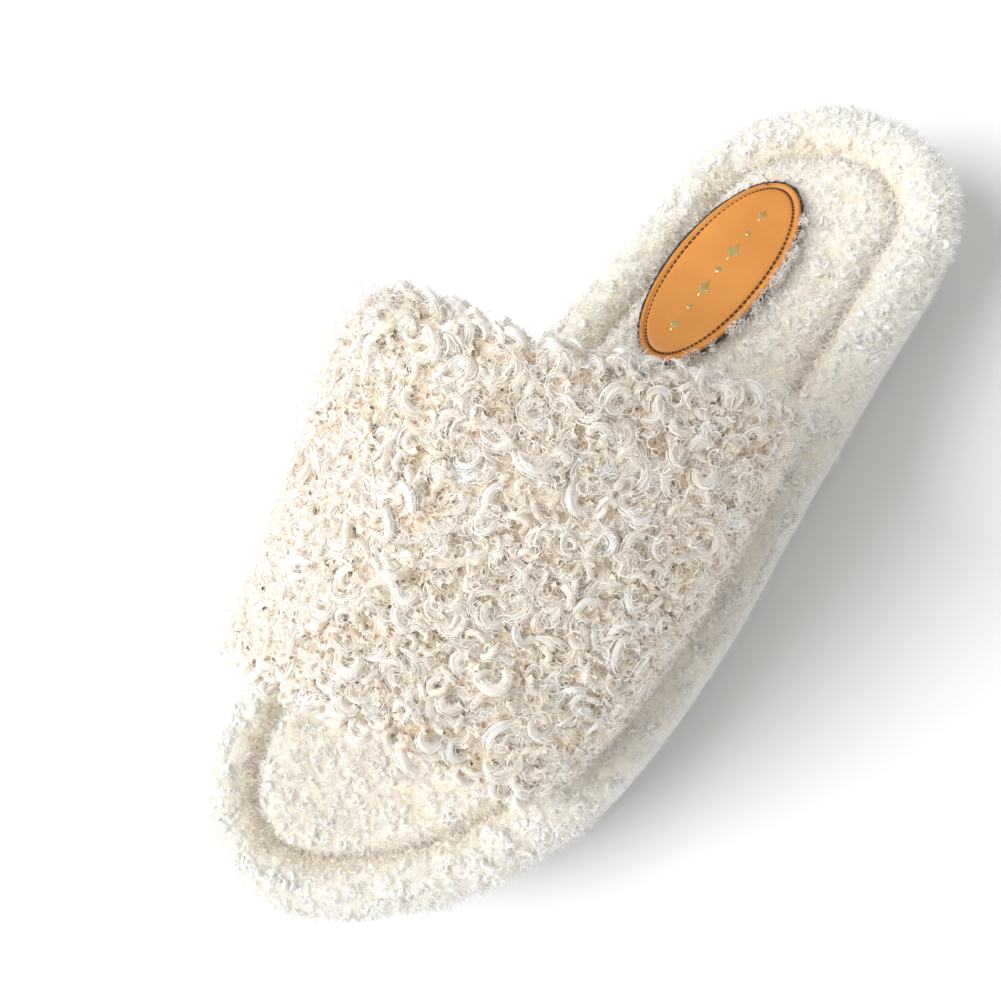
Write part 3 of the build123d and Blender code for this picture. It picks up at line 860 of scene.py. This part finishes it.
def digit_bars(character, x):
    """The bars of a seven-segment character at x, mirrored so that it reads from below."""
    w, h, t = DIGIT_HALF_WIDTH, DIGIT_HALF_HEIGHT, DIGIT_HALF_LINE
    places = {
        "t": (-w, w, h - t, h + t), "m": (-w, w, -t, t), "b": (-w, w, -h - t, t - h),
        "R": (-w - t, t - w, 0, h), "r": (-w - t, t - w, -h, 0),
        "L": (w - t, w + t, 0, h), "l": (w - t, w + t, -h, 0),
    }
    return [(x + x0, x + x1, y0, y1) for x0, x1, y0, y1 in (places[s] for s in SEGMENTS[character])]


def size_frame():
    bars = frame_bars()
    for i, character in enumerate(SIZE_TEXT):
        bars += digit_bars(character, (len(SIZE_TEXT) // 2 - i) * DIGIT_PITCH)
    verts, quads = [], []
    for x0, x1, y0, y1 in bars:
        x0, x1 = x0 + FRAME_MIDDLE[0], x1 + FRAME_MIDDLE[0]
        y0, y1 = y0 + FRAME_MIDDLE[1], y1 + FRAME_MIDDLE[1]
        b = len(verts)
        for g, z in ((0, BAR_BASE), (BAR_BEVEL, BAR_FACE)):
            verts += [(x0 + g, y0 + g, z), (x1 - g, y0 + g, z), (x1 - g, y1 - g, z), (x0 + g, y1 - g, z)]
        quads += [(b + 4, b + 7, b + 6, b + 5)]
        quads += [(b + k, b + 4 + k, b + 4 + (k + 1) % 4, b + (k + 1) % 4) for k in range(4)]
    add_mesh("size_frame", verts, quads, [plate_mat], "outsole_rubber", smooth=False)


size_frame()

# Grip pads: middle (x, y), half width and half length
HEEL_PAD, FORE_PAD = (-2.8, 86.0, 26.0, 35.0), (0.0, -52.0, 31.0, 47.0)
PAD_MESH = 0.42
BEAD, BEAD_ROUNDNESS, BEADS_PER_GROOVE = 2.3, 0.6, 5
# Heights above the floor, so from below the highest is the deepest
BEAD_VALLEY, BEAD_RISE, GROOVE_DEPTH, LOZENGE_DEPTH, BORDER_DEPTH, PAD_SIDE = 0.5, 0.45, 0.6, 0.22, 0.08, 1.4
GROOVE_HALF_WIDTH, LOZENGE_REACH = 0.45, 1.55
BORDER, BORDER_GROOVE, OUTER_EDGE = 0.9, 0.3, 0.01


def grip_pad(name, node_name, x, y, a, b):
    """Oval pad: beads in slanting rows, a groove after every fifth, lozenges where grooves cross."""
    nx, ny = int(2 * a / PAD_MESH), int(2 * b / PAD_MESH)
    gx, gy = np.meshgrid(np.linspace(-1, 1, nx), np.linspace(-1, 1, ny), indexing="ij")
    ox, oy = gx * np.sqrt(1 - gy ** 2 / 2), gy * np.sqrt(1 - gx ** 2 / 2)
    px, py = ox * a, oy * b
    edge = (1 - np.hypot(ox, oy)) * min(a, b)
    q1, q2 = (px + py) / math.sqrt(2), (px - py) / math.sqrt(2)
    bead = np.abs(np.cos(math.pi * q1 / BEAD) * np.cos(math.pi * q2 / BEAD)) ** BEAD_ROUNDNESS
    block = BEADS_PER_GROOVE * BEAD
    from_groove1, from_groove2 = np.abs(q1 % block - block / 2), np.abs(q2 % block - block / 2)
    every_other = (np.floor(q1 / block) + np.floor(q2 / block)) % 2 == 0
    lozenge = (np.sqrt(from_groove1) + np.sqrt(from_groove2) < LOZENGE_REACH) & every_other
    depth = BEAD_VALLEY - BEAD_RISE * bead
    depth = np.where(np.minimum(from_groove1, from_groove2) < GROOVE_HALF_WIDTH, GROOVE_DEPTH, depth)
    depth = np.where(lozenge, LOZENGE_DEPTH, depth)
    depth = np.where(edge < BORDER, BORDER_DEPTH, depth)
    depth = np.where(edge < BORDER_GROOVE, GROOVE_DEPTH, depth)
    depth = np.where(edge < OUTER_EDGE, PAD_SIDE, depth)
    rubber = mottled(
        name + "_rubber", (0.80, 0.27, 0.06), low=(0.78, 0.25, 0.045), high=(0.86, 0.32, 0.08), scale=90,
        roughness=0.5, bump=0.2, bump_scale=1500, distance=0.0002,
    )
    add_mesh(name, np.stack([x + px, y + py, depth], -1), grid_quads(nx, ny)[:, ::-1], [rubber],
             "grip_rubber", replaces=(node_name,))


grip_pad("heel_pad", "heel_grip_pad", *HEEL_PAD)
grip_pad("fore_pad", "forefoot_grip_pad", *FORE_PAD)

# ---------------------------------------------------------------- label
LABEL_X, LABEL_Y, LABEL_A, LABEL_B = -11.0, 72.0, 14.0, 29.5
LABEL_SEAT, LABEL_THICKNESS, LABEL_COLS = 0.5, 1.3, 280
LABEL_HEAVE, LABEL_CURL = 0.5, 0.0016
SEAM_INSET = 2.2
CUSHION, CUSHION_SHOULDER = 0.35, 1.2
FURROW, FURROW_WIDTH = 0.32, 0.45
EDGE_DROP, EDGE_WIDTH, EDGE_POWER = 1.1, 0.9, 2.2
GRAIN, GRAIN_SIZE, GRAIN_SEED = 0.10, 6.0, 61
label_phi = np.linspace(0, TAU, LABEL_COLS, endpoint=False)


def label_lift(px, py):
    """Height of the label's underside, which follows the soft footbed."""
    swell = LABEL_HEAVE * plan_noise(px, py, BED_SWELL_SIZE, BED_SWELL_SEED)
    return BED_TOP + LABEL_SEAT + swell + LABEL_CURL * (px - LABEL_X) ** 2


def on_label(phi, a, b):
    """Plan point at phi on an oval with these half sizes about the label's middle."""
    return LABEL_X + np.cos(phi) * a, LABEL_Y + np.sin(phi) * b


def label_face():
    """Leather face: a soft cushion inside a furrow under the seam, with a rounded edge and a wall."""
    s = np.concatenate([np.linspace(0, 0.9, 34) ** 0.9, np.linspace(0.91, 1.0, 36)])[:, None]
    phi = label_phi[None]
    px, py = LABEL_X + s * np.cos(phi) * LABEL_A, LABEL_Y + s * np.sin(phi) * LABEL_B
    from_edge = (1 - s) * np.hypot(np.cos(phi) * LABEL_A, np.sin(phi) * LABEL_B)
    cushion = CUSHION * (1 - np.exp(-np.clip(from_edge - SEAM_INSET, 0, 9) / CUSHION_SHOULDER))
    furrow = -FURROW * np.exp(-((from_edge - SEAM_INSET) / FURROW_WIDTH) ** 2)
    rounding = -EDGE_DROP * np.clip(1 - from_edge / EDGE_WIDTH, 0, 1) ** EDGE_POWER
    height = label_lift(px, py) + LABEL_THICKNESS + cushion + furrow + rounding
    height = height + GRAIN * plan_noise(px, py, GRAIN_SIZE, GRAIN_SEED)
    face = np.stack([px, py, height], -1)
    return np.concatenate([face, face[-1:] - UP])


leather = mottled(
    "label_leather", (0.54, 0.19, 0.035), low=(0.66, 0.255, 0.05), high=(0.76, 0.315, 0.065), scale=45,
    roughness=0.42, bump=0.25, bump_scale=1100, distance=0.0003,
)
label_grid = label_face()
add_mesh("heel_label", label_grid, grid_quads(len(label_grid), LABEL_COLS, wrap_cols=True), [leather],
         "label_leather", replaces=("label",))

# Felt under the leather, as a ragged dark edge: how far it grows past the label, and its height
FELT_ROWS = ((0.0, 1.0), (0.5, 0.85), (0.6, 0.3), (0.5, -0.5), (-1.5, -0.6))
FELT_THICKNESS = 0.55
RAGGED, RAGGED_REACH, RAGGED_SIZE, RAGGED_SEED = 0.012, 40, 1.1, 62


def felt_edge():
    around_x, around_y = np.cos(label_phi) * RAGGED_REACH, np.sin(label_phi) * RAGGED_REACH
    ragged = 1 + RAGGED * plan_noise(around_x, around_y, RAGGED_SIZE, RAGGED_SEED)
    rows = []
    for grow, level in FELT_ROWS:
        x, y = on_label(label_phi, (LABEL_A + grow) * ragged, (LABEL_B + grow) * ragged)
        rows.append(np.stack([x, y, label_lift(x, y) + level * FELT_THICKNESS], -1))
    return np.stack(rows)


felt = mottled(
    "felt_edge", (0.03, 0.028, 0.03), low=(0.02, 0.018, 0.02), high=(0.09, 0.08, 0.085), scale=900,
    roughness=0.95, sheen=0.1, bump=0.6, bump_scale=2500,
)
add_mesh("label_felt", felt_edge(), grid_quads(len(FELT_ROWS), LABEL_COLS, wrap_cols=True), [felt], "felt",
         replaces=("label_backing",))

FUZZ_CLUMPS, HAIRS_PER_CLUMP, CLUMP_ARC = 46, 14, (-2.2, 0.9)


def label_edge_fuzz():
    """Clumps of footbed fleece that lean over the label's edge, on the little-toe side and in front."""
    count = FUZZ_CLUMPS * HAIRS_PER_CLUMP
    phi = np.repeat(rng.uniform(*CLUMP_ARC, FUZZ_CLUMPS), HAIRS_PER_CLUMP) + rng.normal(0, 0.022, count)
    off = rng.uniform(0.7, 2.4, count)
    x, y = on_label(phi, LABEL_A + off, LABEL_B + off)
    normal = unit(np.column_stack([-np.cos(phi) * 0.7, -np.sin(phi) * 0.7, np.ones(count)]))
    spot = np.column_stack([x, y, label_lift(x, y) + 0.2])
    fuzz("label_edge_fuzz", spot, normal, 2.5, 0.8, (0.5, 1.3), 0.12, bed_mats[1:], shade_by((0.25, 0.6)),
         "short_fleece", steps=6, lean=0.8)


label_edge_fuzz()

STITCHES, STITCH_INSET, STITCH_SPAN, STITCH_RADIUS = 104, 2.3, (0.12, 0.88), 0.27
THREAD_SIDES, TAIL_STEPS, TAIL_RADIUS = 8, 7, 0.2
# How full a stitch is along its length
STITCH_FULLNESS = ((0.0, 0.35), (0.06, 0.75), (0.2, 1.0), (0.5, 1.08), (0.8, 1.0), (0.94, 0.75), (1.0, 0.35))
thread_angle = np.arange(THREAD_SIDES) * TAU / THREAD_SIDES


def stitch(start, end):
    """Small rounded stitch from start to end."""
    d = unit(end - start)
    a = unit(np.cross(d, UP))
    b = np.cross(d, a)
    circle = np.cos(thread_angle)[:, None] * a + np.sin(thread_angle)[:, None] * b
    return np.array([start + (end - start) * f + circle * STITCH_RADIUS * w for f, w in STITCH_FULLNESS])


def thread_tail():
    """The loose end of the thread at the label's rear end."""
    q = np.linspace(0, 1, TAIL_STEPS)[:, None]
    root = np.array([LABEL_X - 4.5, LABEL_Y + LABEL_B - 3.3, BED_TOP + 2.25])
    line = root + q * np.array([-2.2, 2.4, 0.15]) + np.sin(q * 5) * np.array([0.5, 0.3, 0.1])
    circle = np.stack([np.cos(thread_angle), 0 * thread_angle, np.sin(thread_angle)], 1) * TAIL_RADIUS
    return line[:, None] + circle


def seam():
    """Stitches end to end all round the label, and the loose end."""
    made = []
    for i in range(STITCHES):
        phi = (i + np.array(STITCH_SPAN)) / STITCHES * TAU
        x, y = on_label(phi, LABEL_A - STITCH_INSET, LABEL_B - STITCH_INSET)
        made.append(stitch(*np.stack([x, y, label_lift(x, y) + LABEL_THICKNESS], 1)))
    return join_tubes(made + [thread_tail()])


thread = mottled(
    "thread", (0.09, 0.03, 0.012), low=(0.06, 0.02, 0.008), high=(0.15, 0.05, 0.02), scale=1500,
    roughness=0.7, bump=0.5, bump_scale=4000,
)
add_mesh("label_stitches", *seam(), [thread], "thread", replaces=("label_stitching",))

# Row of foil stars and dots down the label's middle
MARKS, MARK_PITCH, MARK_SHRINK, DOT_RADIUS, FOIL_SEAT = 7, 6.2, 0.12, 0.9, 0.34
STAR_HALF_WIDTH, STAR_HALF_HEIGHT, STAR_POWER = 2.3, 3.2, 0.72
# How a mark's outline shrinks as its low dome rises
FOIL_ROWS = ((1.0, 0.0), (0.95, 0.05), (0.55, 0.055), (0.02, 0.06))


def star_radius(phi, k):
    """Radius at phi of a four-pointed star with hollow sides, k times full size."""
    wide = np.abs(np.cos(phi)) ** STAR_POWER / (STAR_HALF_WIDTH * k) ** STAR_POWER
    tall = np.abs(np.sin(phi)) ** STAR_POWER / (STAR_HALF_HEIGHT * k) ** STAR_POWER
    return 1 / (wide + tall) ** (1 / STAR_POWER)


def foil_piece(x, y):
    """Low domed foil shape from a closed outline."""
    points = np.stack([x, y], 1)
    middle = points.mean(0)
    rows = []
    for shrink, lift in FOIL_ROWS:
        p = middle + (points - middle) * shrink
        height = label_lift(p[:, 0], p[:, 1]) + LABEL_THICKNESS + FOIL_SEAT + lift
        rows.append(np.stack([p[:, 0], p[:, 1], height], -1))
    return np.stack(rows)


def foil_marks():
    made = []
    for i in range(MARKS):
        off_middle = i - MARKS // 2
        k = 1 - MARK_SHRINK * abs(off_middle)
        is_dot = i % 2
        phi = np.linspace(0, TAU, 24 if is_dot else 32, endpoint=False)
        r = DOT_RADIUS * k if is_dot else star_radius(phi, k)
        middle_y = LABEL_Y + off_middle * MARK_PITCH
        made.append(foil_piece(LABEL_X + np.cos(phi) * r, middle_y + np.sin(phi) * r))
    return join_tubes(made)


foil = mottled(
    "gold_foil", (0.83, 0.60, 0.24), low=(0.80, 0.56, 0.22), high=(0.92, 0.74, 0.36), scale=400,
    roughness=0.28, metallic=1.0, bump=0.2, bump_scale=2500, distance=0.0001,
)
add_mesh("label_foil", *foil_marks(), [foil], "foil", replaces=("label_mark",))

# ---------------------------------------------------------------- hidden layers
# These keep their CAD shape, with their own materials.
sole_foam = mottled(
    "sole_foam", (0.86, 0.86, 0.85), low=(0.82, 0.82, 0.81), high=(0.9, 0.9, 0.89), scale=300, roughness=0.8,
)
fibre_board = mottled(
    "fibre_board", (0.55, 0.45, 0.32), low=(0.48, 0.38, 0.26), high=(0.62, 0.52, 0.38), scale=500,
    roughness=0.9,
)
for name, m in (("midsole_core", sole_foam), ("insole_board", fibre_board)):
    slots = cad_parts[name].data.materials
    slots.clear()
    slots.append(m)

# ---------------------------------------------------------------- floor
FLOOR_SIZE, FLOOR_GAP = 40, 0.0002  # metres
bpy.ops.mesh.primitive_plane_add(size=FLOOR_SIZE, location=(0, 0, -FLOOR_GAP))
floor = bpy.context.object
floor.data.materials.append(material("floor", (0.93, 0.93, 0.935), 0.9, specular=0.1))

# ---------------------------------------------------------------- camera
AZIMUTH, ELEVATION, ROLL = (math.radians(a) for a in (86.9, 63.3, -48.6))
DISTANCE, TARGET = 310.6, np.array([-26.1, -10.6, 25.0])
IMAGE_SIDE, FOCAL_PIXELS, SENSOR_WIDTH = 1001, 1115.8, 36
CLIP_START = 0.005  # metres

ground = np.array([math.sin(AZIMUTH), -math.cos(AZIMUTH), 0]) * math.cos(ELEVATION)
back = ground + UP * math.sin(ELEVATION)
right = unit(np.cross(-back, UP))
up = np.cross(right, -back)
view_right = math.cos(ROLL) * right + math.sin(ROLL) * up
view_up = -math.sin(ROLL) * right + math.cos(ROLL) * up
camera = bpy.data.objects.new("camera", bpy.data.cameras.new("camera"))
bpy.context.scene.collection.objects.link(camera)
place = Matrix.Identity(4)
for column, axis in enumerate((view_right, view_up, back, (TARGET + back * DISTANCE) * MM)):
    for row in range(3):
        place[row][column] = axis[row]
camera.matrix_world = place
camera.data.sensor_width = SENSOR_WIDTH
camera.data.lens = FOCAL_PIXELS / IMAGE_SIDE * SENSOR_WIDTH
camera.data.clip_start = CLIP_START
bpy.context.scene.camera = camera

# ---------------------------------------------------------------- light
FILL_DISTANCE, FILL_SIZE, FILL_POWER = 1.0, 0.7, 1.6  # metres, metres, watts
KEY_ANGLE, KEY_STRENGTH = 50, 3.45  # degrees, watts per square metre
SKY_COLOR, SKY_STRENGTH = (1.0, 0.975, 0.945), 0.49
LIGHT_BOUNCES = 8


def add_light(name, kind, toward, power, color):
    """A light that shines from this direction on the slipper, and that direction as a unit vector."""
    light = bpy.data.lights.new(name, kind)
    light.energy, light.color = power, color
    holder = bpy.data.objects.new(name, light)
    bpy.context.scene.collection.objects.link(holder)
    aim = Vector(unit(toward))
    holder.rotation_euler = aim.to_track_quat("Z", "Y").to_euler()
    return holder, aim


# the soft key comes from the picture's left, and the fill from low on its right
key, _ = add_light("key", "SUN", -view_right + 0.55 * back, KEY_STRENGTH, (0.95, 0.975, 1.0))
key.data.angle = math.radians(KEY_ANGLE)
fill, fill_aim = add_light(
    "fill", "AREA", view_right - 0.8 * view_up + 0.1 * back, FILL_POWER, (1.0, 0.97, 0.93),
)
fill.data.shape, fill.data.size = "DISK", FILL_SIZE
fill.location = fill_aim * FILL_DISTANCE

world = bpy.data.worlds.new("studio")
world.use_nodes = True
sky = world.node_tree.nodes["Background"]
sky.inputs["Color"].default_value = (*SKY_COLOR, 1)
sky.inputs["Strength"].default_value = SKY_STRENGTH
bpy.context.scene.world = world
bpy.context.scene.view_settings.view_transform = "Standard"
bpy.context.scene.cycles.diffuse_bounces = LIGHT_BOUNCES
